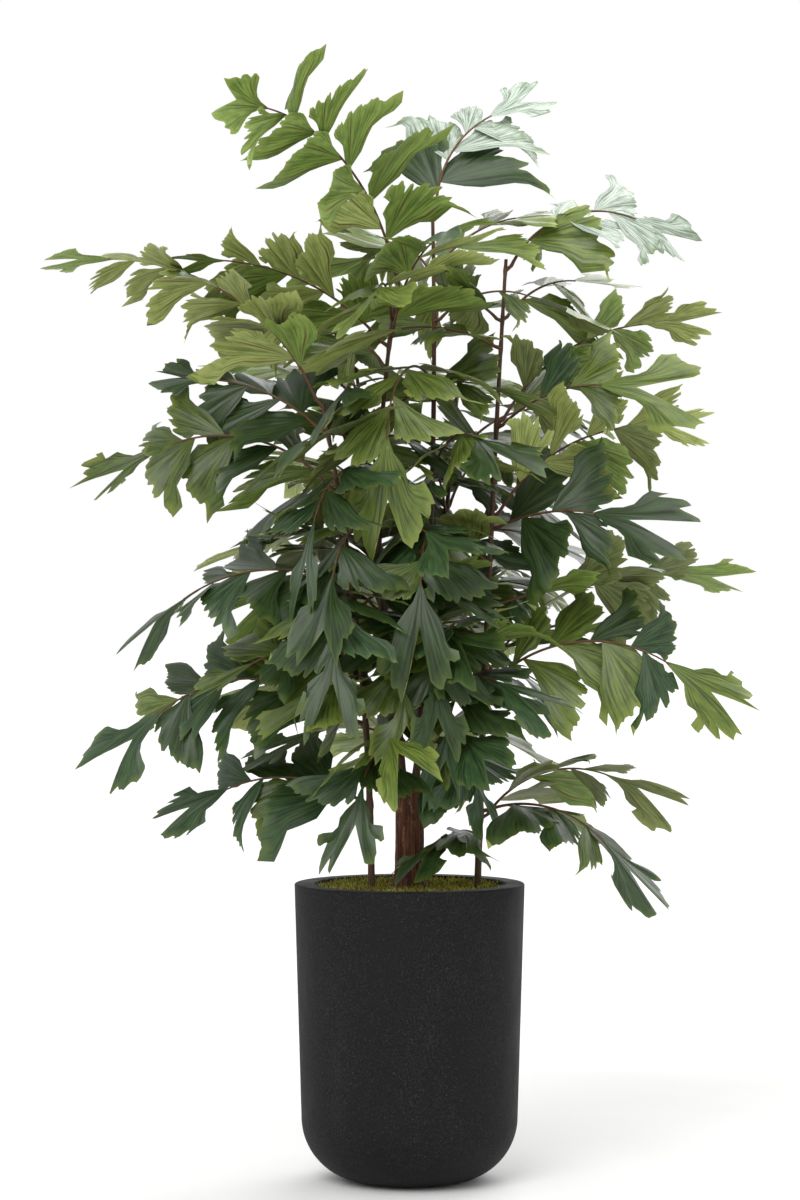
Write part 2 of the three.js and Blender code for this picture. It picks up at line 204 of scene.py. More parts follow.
INNER_LENGTH = 175
INNER_LENGTH_STEP = 25
INNER_RISE = 50
INNER_FALL = -20
INNER_TURN = 25
INNER_REACH = 230  # from the plant's axis to the tip of their ribs
GOLDEN_ANGLE = 137.5
RIB_STAND_OFF = 0.5
RIB_SIDES = 8
RIB_RINGS = 28
RIB_RADII = (2.7, 1.4)
RIB_SWELL = 1.5
RIB_SWELL_SHARE = 0.05
CANE_SIDES = 14
CANE_RINGS = 110
CANE_ROUGH = 0.07
CANE_GRAIN = (2.2, 16)  # noise round the cane, and height of a patch of it
KNOT_SWELL = 0.3
KNOT_HEIGHT = 7
POT_SIDES = 160
TRUNK_SIDES = 96
TRUNK_ROWS = 60
TRUNK_SUNK = 6
TRUNK_EDGE = 1.4  # bevel round its cut top
TRUNK_WAVES = ((7.5, 70, 1.5), (19, 34, 0.9))  # strands and fibres: noise round it, height of a patch, depth
MOSS_SIDES = 140
MOSS_RINGS = 46
MOSS_SUNK = 1.5
MOSS_INSET = 1  # of the bed's underside
MOSS_WAVES = ((34, 3.1, 3.6), (9, 7.7, 2.0))  # lumps and grains: their size, place in the noise, height
MOSS_PILE = 8  # height of the sprigs over the bed
SPRIG_SEED = 5
SPRIG_COUNT = 2600
SPRIG_SIDES = 3
SPRIG_RINGS = ((0, 0.9), (0.4, 1.1), (0.75, 0.8), (1, 0.25))  # share of the height, and radius there
SPRIG_HEIGHTS = (6, 13)
SPRIG_LEANS = (0.1, 0.9)
SPRIG_SUNK = 1.5
SPRIG_EDGE = 4  # from the sprigs to the pot
SPRIG_CLEAR = 6  # from the sprigs to the trunk

Form = namedtuple("Form", "start stop widths neck bends curl outline")
Frame = namedtuple("Frame", "point along across over")
Place = namedtuple("Place", "root axis across upper length hand")


def lerp(a, b, share):
    return a + (b - a) * share


def vec(x, y, z):
    return np.array((x, y, z), float)


def sin(angle):
    return math.sin(math.radians(angle))


def cos(angle):
    return math.cos(math.radians(angle))


def seeded(seed):
    """Evenly spread numbers from -1 to 1, the same as the solids were grown with."""
    state = (seed * 7919 + 12345) % 2**32

    def draw():
        nonlocal state
        state = (state * 1664525 + 1013904223) % 2**32
        return state / 2**31 - 1

    return draw


# Materials

PATTERN = "pattern"
BAKE = "OFBake"


def srgb(red, green, blue):
    """A colour as it looks on a screen, as a linear one."""
    shares = (value / 255 for value in (red, green, blue))
    return (*(x / 12.92 if x <= 0.04045 else ((x + 0.055) / 1.055) ** 2.4 for x in shares), 1.0)


class Paint:
    """A material and its nodes. A socket given as a value is linked, and a plain value is set."""

    def __init__(self, name, **shader):
        self.material = bpy.data.materials.new(name)
        self.material.use_nodes = True
        self.tree = self.material.node_tree
        self.shader = self.tree.nodes["Principled BSDF"]
        self.finish(**shader)

    def fill(self, node, values):
        for socket, value in values.items():
            if isinstance(value, bpy.types.NodeSocket):
                self.tree.links.new(value, node.inputs[socket])
            else:
                node.inputs[socket].default_value = value

    def node(self, kind, values=None, **settings):
        made = self.tree.nodes.new("ShaderNode" + kind)
        for key, value in settings.items():
            setattr(made, key, value)
        self.fill(made, values or {})
        return made

    def pattern(self):
        """The shares across and along a piece's own pattern."""
        where = self.node("UVMap", uv_map=PATTERN).outputs["UV"]
        split = self.node("SeparateXYZ", {"Vector": where})
        return where, split.outputs["X"], split.outputs["Y"]

    def place(self):
        return self.node("TexCoord").outputs["Object"]

    def noise(self, vector, scale, detail, roughness=0.55, stretch=None):
        if stretch:
            vector = self.node("Mapping", {"Vector": vector, "Scale": stretch}).outputs["Vector"]
        values = {"Vector": vector, "Scale": scale, "Detail": detail, "Roughness": roughness}
        return self.node("TexNoise", values).outputs["Fac"]

    def math(self, operation, a, b):
        return self.node("Math", {0: a, 1: b}, operation=operation).outputs["Value"]

    def total(self, *parts):
        """Values added up, each by its share."""
        tone, *rest = [self.math("MULTIPLY", value, share) for value, share in parts]
        for value in rest:
            tone = self.math("ADD", tone, value)
        return tone

    def shifted(self, value, noise, size):
        """A value that a noise moves up and down."""
        return self.math("ADD", value, self.math("MULTIPLY", self.math("SUBTRACT", noise, 0.5), size))

    def range(self, value, low, high, to_low=0.0, to_high=1.0):
        values = {"Value": value, "From Min": low, "From Max": high, "To Min": to_low, "To Max": to_high}
        return self.node("MapRange", values, interpolation_type="SMOOTHSTEP").outputs["Result"]

    def ramp(self, value, stops):
        made = self.node("ValToRGB", {"Fac": value})
        elements = made.color_ramp.elements
        for index, (at, colour) in enumerate(stops):
            element = elements[index] if index < 2 else elements.new(at)
            element.position = at
            element.color = colour
        return made.outputs["Color"]

    def mix(self, share, a, b):
        return self.node("Mix", {0: share, 6: a, 7: b}, data_type="RGBA").outputs[2]

    def bump(self, height, strength, distance):
        values = {"Height": height, "Strength": strength, "Distance": distance}
        return self.node("Bump", values).outputs["Normal"]

    def finish(self, **values):
        self.fill(self.shader, {key.replace("_", " "): value for key, value in values.items()})
        return self.material


MAIN_VEINS = (0.12, 0.6)
VEIN_WIDTH = 0.02


def leaf_material(name, dark, light, edge, vein, vein_share, roughness, gloss):
    """Fine dark lines fan out from the root, with two main veins, and the colour turns at the ragged end."""
    middle = tuple(lerp(a, b, 0.65) for a, b in zip(dark, light))
    paint = Paint(name, Specular_IOR_Level=gloss)
    where, across, along = paint.pattern()
    fine = paint.noise(where, 1.0, detail=3.0, roughness=0.7, stretch=(32.0, 1.1, 1.0))
    cloud = paint.noise(where, 1.0, detail=2.0, stretch=(5.0, 3.0, 1.0))
    colour = paint.ramp(fine, [(0.39, dark), (0.48, middle), (0.62, light)])
    colour = paint.mix(paint.range(cloud, 0.4, 0.7, 0.0, 0.6), colour, dark)
    worn = paint.shifted(along, cloud, 0.7)
    colour = paint.mix(paint.range(worn, 0.78, 1.1, 0.0, 0.65), colour, edge)
    clear, marked = (0, 0, 0, 1), (1, 1, 1, 1)
    stops = [(0.0, clear), (1.0, clear)]
    for at in MAIN_VEINS:
        stops += [(at - VEIN_WIDTH, clear), (at - VEIN_WIDTH / 2, marked)]
        stops += [(at + VEIN_WIDTH / 2, marked), (at + VEIN_WIDTH, clear)]
    lines = paint.ramp(across, stops)
    fading = paint.range(along, 0.4, 1.0, vein_share, 0.0)
    colour = paint.mix(paint.math("MULTIPLY", lines, fading), colour, vein)
    return paint.finish(
        Base_Color=colour,
        Roughness=paint.range(fine, 0.3, 0.7, roughness - 0.07, roughness + 0.09),
        Normal=paint.bump(fine, 0.12, 0.001),
    )


def stem_material(name, dark, light, fresh, fresh_share, stretch):
    """Bark of a rib or cane: fibres along it, with patches where it is still green."""
    paint = Paint(name, Specular_IOR_Level=0.35)
    where, _, _ = paint.pattern()
    fibres = paint.noise(where, 1.0, detail=5.0, roughness=0.65, stretch=stretch)
    patches = paint.noise(where, 1.0, detail=2.0, stretch=(2.0, stretch[1] * 0.4, 1.0))
    colour = paint.ramp(fibres, [(0.32, dark), (0.7, light)])
    colour = paint.mix(paint.range(patches, 0.5, 0.68, 0.0, fresh_share), colour, fresh)
    return paint.finish(
        Base_Color=colour,
        Roughness=paint.range(fibres, 0.3, 0.7, 0.45, 0.7),
        Normal=paint.bump(fibres, 0.5, 0.0012),
    )


TRUNK_SIDE_SHARE = 0.82  # of the trunk's pattern, below its cut top


def trunk_material():
    """Reddish fibres with pale flecks up the trunk, and a pale ring round the dark cut top."""
    paint = Paint("trunk_bark", Specular_IOR_Level=0.3)
    where, _, along = paint.pattern()
    fibres = paint.noise(where, 1.0, detail=6.0, roughness=0.68, stretch=(46.0, 2.2, 1.0))
    patches = paint.noise(where, 1.0, detail=3.0, stretch=(7.0, 4.0, 1.0))
    bark = paint.ramp(fibres, [(0.34, srgb(38, 22, 17)), (0.5, srgb(92, 52, 36)), (0.68, srgb(146, 98, 66))])
    bark = paint.mix(paint.range(patches, 0.5, 0.72, 0.0, 0.5), bark, srgb(62, 46, 36))
    flecks = paint.noise(where, 1.0, detail=4.0, roughness=0.7, stretch=(26.0, 7.0, 1.0))
    bark = paint.mix(paint.range(flecks, 0.56, 0.68, 0.0, 0.6), bark, srgb(172, 146, 120))
    pith = paint.ramp(patches, [(0.36, srgb(74, 62, 50)), (0.64, srgb(128, 118, 104))])
    ring = paint.ramp(fibres, [(0.3, srgb(142, 104, 74)), (0.7, srgb(196, 162, 124))])
    top = paint.mix(paint.range(along, 0.86, 0.9), ring, pith)
    colour = paint.mix(paint.range(along, TRUNK_SIDE_SHARE - 0.02, TRUNK_SIDE_SHARE), bark, top)
    return paint.finish(Base_Color=colour, Roughness=0.72, Normal=paint.bump(fibres, 0.7, 0.002))


def moss_material(name, dark, middle, light):
    paint = Paint(name, Roughness=0.95, Specular_IOR_Level=0.15)
    place = paint.place()
    grains = paint.noise(place, 260.0, detail=4.0, roughness=0.7)
    clumps = paint.noise(place, 42.0, detail=2.0)
    tone = paint.total((grains, 0.55), (clumps, 0.45))
    colour = paint.ramp(tone, [(0.36, dark), (0.5, middle), (0.64, light)])
    return paint.finish(Base_Color=colour, Normal=paint.bump(grains, 0.8, 0.004))


def sprig_material(name, root, tip):
    paint = Paint(name, Roughness=0.9, Specular_IOR_Level=0.2)
    where, _, along = paint.pattern()
    mottle = paint.noise(where, 6.0, detail=2.0)
    tone = paint.shifted(along, mottle, 0.4)
    return paint.finish(Base_Color=paint.ramp(tone, [(0.1, root), (0.9, tip)]))


def pot_material():
    """Charcoal with a fine grain, a few pale pores and faint clouds."""
    paint = Paint("pot_charcoal", Specular_IOR_Level=0.24)
    place = paint.place()
    grain = paint.noise(place, 900.0, detail=2.0, roughness=0.7)
    pores = paint.noise(place, 330.0, detail=3.0, roughness=0.65)
    clouds = paint.noise(place, 12.0, detail=4.0, roughness=0.65, stretch=(1.0, 1.0, 0.45))
    tone = paint.total((grain, 0.2), (pores, 0.5), (clouds, 0.3))
    colour = paint.ramp(tone, [(0.4, srgb(3, 3, 4)), (0.5, srgb(10, 10, 11)), (0.6, srgb(34, 34, 35))])
    colour = paint.mix(paint.range(pores, 0.66, 0.74, 0.0, 0.35), colour, srgb(104, 104, 106))
    return paint.finish(
        Base_Color=colour,
        Roughness=paint.range(clouds, 0.3, 0.7, 0.62, 0.8),
        Normal=paint.bump(tone, 0.35, 0.0015),
    )


def soil_material():
    paint = Paint("soil_crumb", Roughness=1.0, Specular_IOR_Level=0.1)
    crumbs = paint.noise(paint.place(), 140.0, detail=5.0, roughness=0.7)
    colour = paint.ramp(crumbs, [(0.35, srgb(40, 30, 22)), (0.68, srgb(86, 66, 46))])
    return paint.finish(Base_Color=colour, Normal=paint.bump(crumbs, 0.8, 0.004))


# Meshes

WHOLE = ((0.0, 0.0), (1.0, 1.0))
SHARP_ANGLE = math.radians(75)
TUBE_END = 0.004  # where a tube's pattern has its flat ends, from the foot and from the tip
TUBE_END_SIZE = (0.1, 0.003)


def placed(name, data):
    """A new object in the scene."""
    made = bpy.data.objects.new(name, data)
    bpy.context.scene.collection.objects.link(made)
    return made


class Shell:
    """A piece's points and faces, patch by patch, with two maps: its pattern and where it is baked to."""

    def __init__(self):
        self.points = []
        self.count = 0
        self.loops = []
        self.sizes = []
        self.slots = []
        self.patterns = []
        self.places = []

    def add_points(self, points):
        first = self.count
        self.points.append(points)
        self.count += len(points)
        return first

    def add_faces(self, faces, uv, slot=0, cell=WHOLE):
        low, size = np.array(cell)
        self.loops.append(faces.ravel())
        self.sizes.append(np.full(len(faces), faces.shape[1]))
        self.slots.append(np.full(len(faces), slot))
        self.patterns.append(uv.reshape(-1, 2))
        self.places.append(low + uv.reshape(-1, 2) * size)

    def piece(self, name, materials, slot):
        points = np.concatenate(self.points) * MM
        loops = np.concatenate(self.loops)
        sizes = np.concatenate(self.sizes)
        mesh = bpy.data.meshes.new(name)
        mesh.vertices.add(len(points))
        mesh.vertices.foreach_set("co", points.astype(np.float32).ravel())
        mesh.loops.add(len(loops))
        mesh.loops.foreach_set("vertex_index", loops.astype(np.int32))
        mesh.polygons.add(len(sizes))
        starts = np.concatenate([[0], np.cumsum(sizes)[:-1]])
        mesh.polygons.foreach_set("loop_start", starts.astype(np.int32))
        mesh.polygons.foreach_set("material_index", np.concatenate(self.slots).astype(np.int32))
        for title, parts in ((PATTERN, self.patterns), (BAKE, self.places)):
            layer = mesh.uv_layers.new(name=title)
            layer.data.foreach_set("uv", np.concatenate(parts).astype(np.float32).ravel())
        mesh.update(calc_edges=True)
        mesh.validate()
        for material in materials:
            mesh.materials.append(material)
        mesh.shade_smooth()
        mesh.set_sharp_from_angle(angle=SHARP_ANGLE)
        made = placed(name, mesh)
        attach(made, "root")
        return made


def lattice(rows, columns, wrap):
    """Faces of a grid of points, row by row, and their shares across and along it."""
    row, column = np.mgrid[0:rows, 0:columns]
    width = columns if wrap else columns + 1
    steps = ((0, 0), (0, 1), (1, 1), (1, 0))
    faces = np.stack([(row + i) * width + (column + j) % width for i, j in steps], -1)
    uv = np.stack([np.stack([(column + j) / columns, (row + i) / rows], -1) for i, j in steps], -2)
    return faces.reshape(-1, 4), uv.reshape(-1, 4, 2)


def add_tube(shell, rings, slot=0, cell=WHOLE):
    """A closed tube through rings of points, which run round to the left as seen from the last ring."""
    rows, sides = rings.shape[0] - 1, rings.shape[1]
    first = shell.add_points(rings.reshape(-1, 3))
    faces, uv = lattice(rows, sides, True)
    shell.add_faces(faces + first, uv, slot, cell)
    ends = ((np.arange(sides)[::-1], TUBE_END), (rows * sides + np.arange(sides), 1 - TUBE_END))
    for ring, at in ends:
        shell.add_faces((ring + first)[None], end_map(sides, at, TUBE_END_SIZE), slot, cell)


def round_points(sides):
    turn = 2 * np.pi * np.arange(sides) / sides
    return np.cos(turn), np.sin(turn)


def end_map(sides, at, size):
    """A small round place in a pattern, for the flat end of a tube."""
    across, deep = round_points(sides)
    return np.stack([0.5 + size[0] * across, at + size[1] * deep], -1)[None]


def turned(profile, sides, relief=None):
    """Rings of a turned body from its profile of radius and height.

    relief(turn, height, radius) is added to the radius.
    """
    rings = np.zeros((len(profile), sides, 3))
    for row, (radius, height) in enumerate(profile):
        for side in range(sides):
            turn = 2 * math.pi * side / sides
            out = radius + (relief(turn, height, radius) if relief else 0.0)
            rings[row, side] = (out * math.cos(turn), out * math.sin(turn), height)
    return rings


def arc(centre, radius, start, stop, steps):
    """Points of a profile along an arc, its angles from level outwards."""
    angles = [lerp(start, stop, step / steps) for step in range(steps + 1)]
    return [(centre[0] + radius * cos(angle), centre[1] + radius * sin(angle)) for angle in angles]


def straight(start, stop, steps):
    """Points between two points of a profile, without its ends."""
    return [tuple(lerp(np.array(start), np.array(stop), step / steps)) for step in range(1, steps)]


# Pot, moss and trunk

AXIS_RADIUS = 0.5  # turned bodies close with a small flat face


def bore_at(height):
    bore = POT_RIM_RADIUS - POT_RIM_WIDTH
    low = POT_FLOOR + POT_INNER_CHAMFER
    return lerp(bore - POT_INNER_TAPER, bore, (height - low) / (POT_HEIGHT - POT_EDGE - low))


def pot_rings():
    foot = POT_WAIST_RADIUS - POT_ROUND
    bore = POT_RIM_RADIUS - POT_RIM_WIDTH
    edge_height = POT_HEIGHT - POT_EDGE
    profile = [(AXIS_RADIUS, 0)] + straight((AXIS_RADIUS, 0), (foot, 0), 4)
    profile += arc((foot, POT_ROUND), POT_ROUND, -90, 0, 24)
    profile += straight((POT_WAIST_RADIUS, POT_ROUND), (POT_RIM_RADIUS, edge_height), 14)
    profile += arc((POT_RIM_RADIUS - POT_EDGE, edge_height), POT_EDGE, 0, 90, 5)
    profile += straight((POT_RIM_RADIUS - POT_EDGE, POT_HEIGHT), (bore + POT_EDGE, POT_HEIGHT), 4)
    profile += arc((bore + POT_EDGE, edge_height), POT_EDGE, 90, 180, 5)
    profile += [
        (bore_at(MOSS_TOP - MOSS_DEPTH), MOSS_TOP - MOSS_DEPTH),
        (bore - POT_INNER_TAPER, POT_FLOOR + POT_INNER_CHAMFER),
        (bore - POT_INNER_TAPER - POT_INNER_CHAMFER, POT_FLOOR),
        (AXIS_RADIUS, POT_FLOOR),
    ]
    return turned(profile, POT_SIDES)


def make_pot():
    shell = Shell()
    add_tube(shell, pot_rings())
    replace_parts(shell.piece("pot_shell", [pot_material()], "pot"), "pot")


def moss_height(x, y):
    """The bed with its lumps and grains, at a place."""
    height = MOSS_TOP - MOSS_SUNK
    for size, level, high in MOSS_WAVES:
        height += high * noise.noise(Vector((x / size, y / size, level)))
    return height


MOSS_MAP = 2.04  # width of the bed's map, in radii of the bed


def make_moss():
    reach = bore_at(MOSS_TOP) - GAP
    rings = np.zeros((MOSS_RINGS + 2, MOSS_SIDES, 3))
    across, deep = round_points(MOSS_SIDES)
    low = MOSS_TOP - MOSS_DEPTH
    for ring, radius in enumerate((AXIS_RADIUS, reach - MOSS_INSET)):
        rings[ring] = np.stack([across * radius, deep * radius, np.full(MOSS_SIDES, low)], -1)
    for ring in range(MOSS_RINGS):
        radius = lerp(reach, AXIS_RADIUS, ring / (MOSS_RINGS - 1))
        for side in range(MOSS_SIDES):
            x, y = radius * across[side], radius * deep[side]
            rings[ring + 2, side] = (x, y, moss_height(x, y))
    shell = Shell()
    first = shell.add_points(rings.reshape(-1, 3))
    faces, _ = lattice(MOSS_RINGS + 1, MOSS_SIDES, True)
    sides = np.arange(MOSS_SIDES)
    flat = 0.5 + rings.reshape(-1, 3)[:, :2] / (MOSS_MAP * reach)
    shell.add_faces(faces + first, flat[faces])
    for end in (sides[::-1], sides + (MOSS_RINGS + 1) * MOSS_SIDES):
        shell.add_faces(end[None] + first, flat[end][None])
    bed = moss_material("moss_bed", srgb(74, 70, 28), srgb(134, 128, 58), srgb(184, 182, 102))
    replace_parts(shell.piece("moss_bed", [bed], "moss"), "moss")
    make_sprigs(reach - SPRIG_EDGE)


# Name, and colour at root and tip
SPRIG_TINTS = (
    ("moss_sprig_green", (88, 92, 34), (164, 168, 84)),
    ("moss_sprig_gold", (104, 96, 32), (188, 182, 90)),
    ("moss_sprig_brown", (66, 58, 24), (136, 120, 58)),
)
SPRIG_MARGIN = (0.01, 0.02)  # round the place of a tint in the sprigs' picture


def sprig_cell(tint):
    across, along = SPRIG_MARGIN
    width = 1 / len(SPRIG_TINTS)
    return (tint / len(SPRIG_TINTS) + across, along), (width - 2 * across, 1 - 2 * along)


def make_sprigs(reach):
    """Short curved sprigs all over the bed, clear of the trunk."""
    wild = np.random.default_rng(SPRIG_SEED)
    shell = Shell()
    across, deep = round_points(SPRIG_SIDES)
    while shell.count < SPRIG_COUNT * SPRIG_SIDES * len(SPRIG_RINGS):
        radius, turn = reach * math.sqrt(wild.random()), 2 * math.pi * wild.random()
        foot = vec(radius * math.cos(turn), radius * math.sin(turn), 0)
        foot[2] = moss_height(foot[0], foot[1]) - SPRIG_SUNK
        height, lean = wild.uniform(*SPRIG_HEIGHTS), wild.uniform(*SPRIG_LEANS)
        way = 2 * math.pi * wild.random()
        tint = int(wild.integers(len(SPRIG_TINTS)))
        if radius < TRUNK_RADIUS + TRUNK_FLARE + TRUNK_TAPER + SPRIG_CLEAR:
            continue
        out = vec(math.cos(way), math.sin(way), 0)
        rings = []
        for share, thick in SPRIG_RINGS:
            middle = foot + out * (height * lean * share**2) + vec(0, 0, height * share)
            rings.append(middle + np.stack([across * thick, deep * thick, 0 * across], -1))
        add_tube(shell, np.array(rings), tint, sprig_cell(tint))
    tints = [sprig_material(name, srgb(*root), srgb(*tip)) for name, root, tip in SPRIG_TINTS]
    shell.piece("moss_sprigs", tints, "moss")


def trunk_relief(turn, height, radius):
    """Upright fibres that split and shift along the trunk, fading on its cut top."""
    x, y = math.cos(turn), math.sin(turn)
    relief = sum(
        depth * noise.noise(Vector((x * count, y * count, height / patch)))
        for count, patch, depth in TRUNK_WAVES
    )
    return relief * min(1.0, radius / TRUNK_RADIUS) ** 3


def trunk_profile():
    """Radius and height up the side of the trunk, which flares at its foot."""
    profile = []
    for row in range(TRUNK_ROWS + 1):
        height = lerp(MOSS_TOP - TRUNK_SUNK, TRUNK_TOP - TRUNK_EDGE, row / TRUNK_ROWS)
        flare = max(0.0, 1 - (height - MOSS_TOP) / TRUNK_FLARE_HEIGHT)
        taper = (height - MOSS_TOP) / (TRUNK_TOP - MOSS_TOP)
        radius = TRUNK_RADIUS + TRUNK_TAPER * (1 - taper) + TRUNK_FLARE * min(1.0, flare) ** 2
        profile.append((radius, height))
    return profile


def trunk_rings():
    """The trunk's side and then its cut top."""
    shoulder = (TRUNK_RADIUS - TRUNK_EDGE, TRUNK_TOP)
    top = [shoulder, *straight(shoulder, (AXIS_RADIUS, TRUNK_TOP), 7), (AXIS_RADIUS, TRUNK_TOP)]
    return turned(trunk_profile() + top, TRUNK_SIDES, trunk_relief)


TRUNK_END = 0.01  # where its pattern has the small flat ends
TRUNK_END_SIZE = (0.05, 0.008)


def make_trunk():
    rings = trunk_rings()
    rows = len(rings) - 1
    shell = Shell()
    first = shell.add_points(rings.reshape(-1, 3))
    faces, uv = lattice(rows, TRUNK_SIDES, True)
    split = TRUNK_ROWS / rows
    along = uv[..., 1]
    above = TRUNK_SIDE_SHARE + (along - split) / (1 - split) * (1 - TRUNK_SIDE_SHARE)
    uv[..., 1] = np.where(along <= split, along / split * TRUNK_SIDE_SHARE, above)
    shell.add_faces(faces + first, uv)
    sides = np.arange(TRUNK_SIDES)
    for end, at in ((sides[::-1], TRUNK_END), (sides + rows * TRUNK_SIDES, 1 - TRUNK_END)):
        shell.add_faces(end[None] + first, end_map(TRUNK_SIDES, at, TRUNK_END_SIZE))
    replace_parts(shell.piece("trunk_fibres", [trunk_material()], "bark"), "trunk")


# Canes

CANE_SUNK = 5  # a cane's foot goes this far into what carries it


def cane_point(cane, share):
    (foot_x, foot_y, foot_z), bow, tip = CANES[cane]
    foot = vec(foot_x, foot_y, foot_z + GAP)
    middle = vec(*bow, (foot[2] + tip[2]) / 2)
    return (1 - share) ** 2 * foot + 2 * share * (1 - share) * middle + share**2 * vec(*tip)


def share_on_cane(cane, height):
    (_, _, foot_z), _, tip = CANES[cane]
    return (height - foot_z - GAP) / (tip[2] - foot_z - GAP)


def cane_rings(name):
    """A cane's rings, swollen at the knots where its fronds stand."""
    across, deep = round_points(CANE_SIDES)
    knots = [row[0] for row in FRONDS[name]]
    rings = []
    for ring in range(CANE_RINGS + 1):
        share = ring / CANE_RINGS
        middle = cane_point(name, share)
        if ring == 0:
            middle = middle - vec(0, 0, CANE_SUNK)
        swell = sum(math.exp(-(((middle[2] - knot) / KNOT_HEIGHT) ** 2)) for knot in knots)
        radius = lerp(CANE_FOOT_RADIUS, CANE_TIP_RADIUS, share) * (1 + KNOT_SWELL * min(1.0, swell))
        count, patch = CANE_GRAIN
        outs = [
            radius * (1 + CANE_ROUGH * noise.noise(Vector((x * count, y * count, middle[2] / patch))))
            for x, y in zip(across, deep)
        ]
        rings.append(middle + np.stack([across * outs, deep * outs, 0 * across], -1))
    return np.array(rings)


def make_canes():
    bark = stem_material(
        "cane_bark", srgb(44, 28, 22), srgb(104, 70, 50), srgb(88, 84, 46), 0.55, (18.0, 26.0, 1.0)
    )
    for name in CANES:
        shell = Shell()
        add_tube(shell, cane_rings(name))
        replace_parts(shell.piece(f"cane_{name}_bark", [bark], "cane"), f"cane_{name}")


# Fronds

def add_back_fronds():
    """Evenly up their canes, spread over a span of headings by golden shares."""
    for name, (low, step, heading) in BACK.items():
        rows = []
        for i in range(BACK_COUNT):
            swing = (i * GOLDEN_SHARE % 1 - 0.5) * BACK_SPAN
            length = BACK_LENGTH + BACK_LENGTH_STEP * (i % 3)
            rise, fall = BACK_RISE - BACK_RISE_STEP * (i % 4), BACK_FALL + BACK_FALL_STEP * i
            turn = BACK_TURN - swing / 3
            rows.append((low + step * i, heading + swing, length, rise, fall, turn, BACK_END))
        FRONDS[name] = rows


INNER_FRONDS = {}


def add_inner_fronds():
    """Small fronds between the others, evenly up each cane and turned by the golden angle."""
    for number, (cane, (foot, _, tip)) in enumerate(CANES.items()):
        heights = np.arange(max(foot[2], TRUNK_TOP) + INNER_STEP / 2, tip[2] - INNER_STEP / 2, INNER_STEP)
        INNER_FRONDS[cane] = []
        for index, height in enumerate(heights):
            heading = GOLDEN_ANGLE * (index + 2 * number)
            length = INNER_LENGTH + INNER_LENGTH_STEP * (index % 3)
            if cane not in OPEN_CANES or not OPEN_BAND[0] < height < OPEN_BAND[1]:
                INNER_FRONDS[cane].append((height, heading, length, INNER_RISE, INNER_FALL, INNER_TURN))


def rib_frame(cane, row, share):
    """A rib's frame at a share of its length: it is an arc in the upright plane of its heading."""
    height, heading, length, rise, fall, turn = row[:6]
    on_cane = share_on_cane(cane, height)
    out = vec(cos(heading), sin(heading), 0)
    side = vec(-sin(heading), cos(heading), 0)
    cane_radius = lerp(CANE_FOOT_RADIUS, CANE_TIP_RADIUS, on_cane)
    stand_off = cane_radius + RIB_FOOT_RADIUS * sin(rise) + RIB_STAND_OFF
    curl = math.radians(fall - rise) / length
    pitch = lerp(rise, fall, share)
    along = (sin(pitch) - sin(rise)) / curl
    up = (cos(rise) - cos(pitch)) / curl
    level = vec(0, 0, cos(pitch)) - out * sin(pitch)
    return Frame(
        cane_point(cane, on_cane) + out * (stand_off + along) + vec(0, 0, up),
        vec(0, 0, sin(pitch)) + out * cos(pitch),
        side * cos(turn) + level * sin(turn),
        level * cos(turn) - side * sin(turn),
    )


def leaflet_place(at, hand, opening, droop, twist, length):
    """A leaflet turned out from the rib, hung below the frond's plane and twisted on its axis."""
    page = at.across * (hand * cos(droop)) - at.over * sin(droop)
    upper = at.over * cos(droop) + at.across * (hand * sin(droop))
    axis = at.along * cos(opening) + page * sin(opening)
    upper = upper * cos(twist) + np.cross(axis, upper) * sin(twist)
    return Place(at.point, axis, np.cross(upper, axis), upper, length, -hand)


def carried(place, x, y, height, bend, curl):
    """Points of a leaflet's flat sheet, curled about its axis, bent downwards and carried to its place."""
    turn = math.radians(curl) / place.length * x
    y, height = y * np.cos(turn) - height * np.sin(turn), y * np.sin(turn) + height * np.cos(turn)
    curve = math.radians(bend) / place.length
    lean = curve * x
    forward = np.sin(lean) / curve + height * np.sin(lean)
    up = (np.cos(lean) - 1) / curve + height * np.cos(lean)
    steps = zip((forward, y * place.hand, up), (place.axis, place.across, place.upper))
    return place.root + sum(np.asarray(step)[..., None] * way for step, way in steps)


def taken_row(cane, row, node):
    """The frond's row with the heading that the solid's rib took, and a frond with painted sheen turned
    further.
    """
    height, heading, length, rise, fall, turn, *end = row
    turn += PAINTED_SHEEN_FRONDS.get((cane, height), 0)
    points = np.array([vertex.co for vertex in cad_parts[node].data.vertices]) / MM
    rows = [(height, heading + aside, length, rise, fall, turn, *end) for aside in ASIDE]
    tips = [rib_frame(cane, turned_row, 1).point for turned_row in rows]
    gaps = [np.linalg.norm(points - tip, axis=1).min() for tip in tips]
    return rows[int(np.argmin(gaps))]


# The grid of a leaflet: its upper side, and its underside with the same points along the edge
S = np.linspace(0, 1, LEAF_COLUMNS + 1)
RHO = np.linspace(0, 1, LEAF_ROWS + 1) ** ROW_POWER
LEAF_FACES, LEAF_UV = lattice(LEAF_ROWS, LEAF_COLUMNS, False)
INNER = np.zeros((LEAF_ROWS + 1, LEAF_COLUMNS + 1), bool)
INNER[1:-1, 1:-1] = True
UNDER_INDEX = np.arange(INNER.size)
UNDER_INDEX[INNER.ravel()] = INNER.size + np.arange(INNER.sum())


